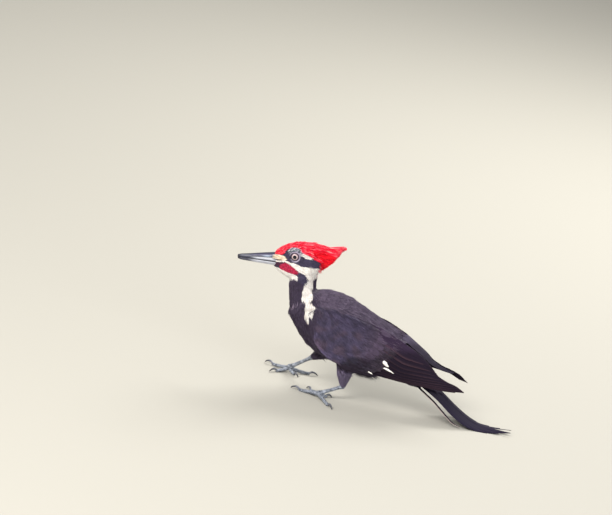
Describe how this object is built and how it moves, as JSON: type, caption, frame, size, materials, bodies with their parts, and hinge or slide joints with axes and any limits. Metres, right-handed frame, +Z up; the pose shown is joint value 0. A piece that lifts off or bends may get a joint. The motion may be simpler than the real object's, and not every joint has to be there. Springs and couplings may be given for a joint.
{
  "type": "woodpecker",
  "caption": "Life-size crested woodpecker standing on two feet with its stiff tail as a prop, long straight bill, wings folded.",
  "frame": {"origin": "on the floor, under the middle of the bird's bounding box", "axes": "+Z up, the bill points to -X, the bird's left side is -Y"},
  "size_m": [0.4, 0.118, 0.2016],
  "materials": {
    "plumage_black": "matt charcoal-black feathers",
    "plumage_red": "satin scarlet crest feathers",
    "horn_slate": "satin slate horn",
    "horn_pale": "satin pale horn",
    "scutes": "scaly grey skin",
    "claw": "smooth dark horn",
    "eye": "wet glossy eye with a cream iris"
  },
  "bodies": {
    "root": {"eye_left": "eye", "eye_right": "eye", "head": "plumage_black", "crest": "plumage_red", "bill_upper": "horn_slate", "bill_lower": "horn_pale", "trunk": "plumage_black", "neck": "plumage_black", "tail": "plumage_black", "wing_left": "plumage_black", "thigh_left": "plumage_black", "tarsus_left": "scutes", "toe_left_3": "scutes", "claw_left_3": "claw", "toe_left_2": "scutes", "claw_left_2": "claw", "toe_left_4": "scutes", "claw_left_4": "claw", "toe_left_1": "scutes", "claw_left_1": "claw", "wing_right": "plumage_black", "thigh_right": "plumage_black", "tarsus_right": "scutes", "toe_right_3": "scutes", "claw_right_3": "claw", "toe_right_2": "scutes", "claw_right_2": "claw", "toe_right_4": "scutes", "claw_right_4": "claw", "toe_right_1": "scutes", "claw_right_1": "claw"}
  },
  "joints": []
}
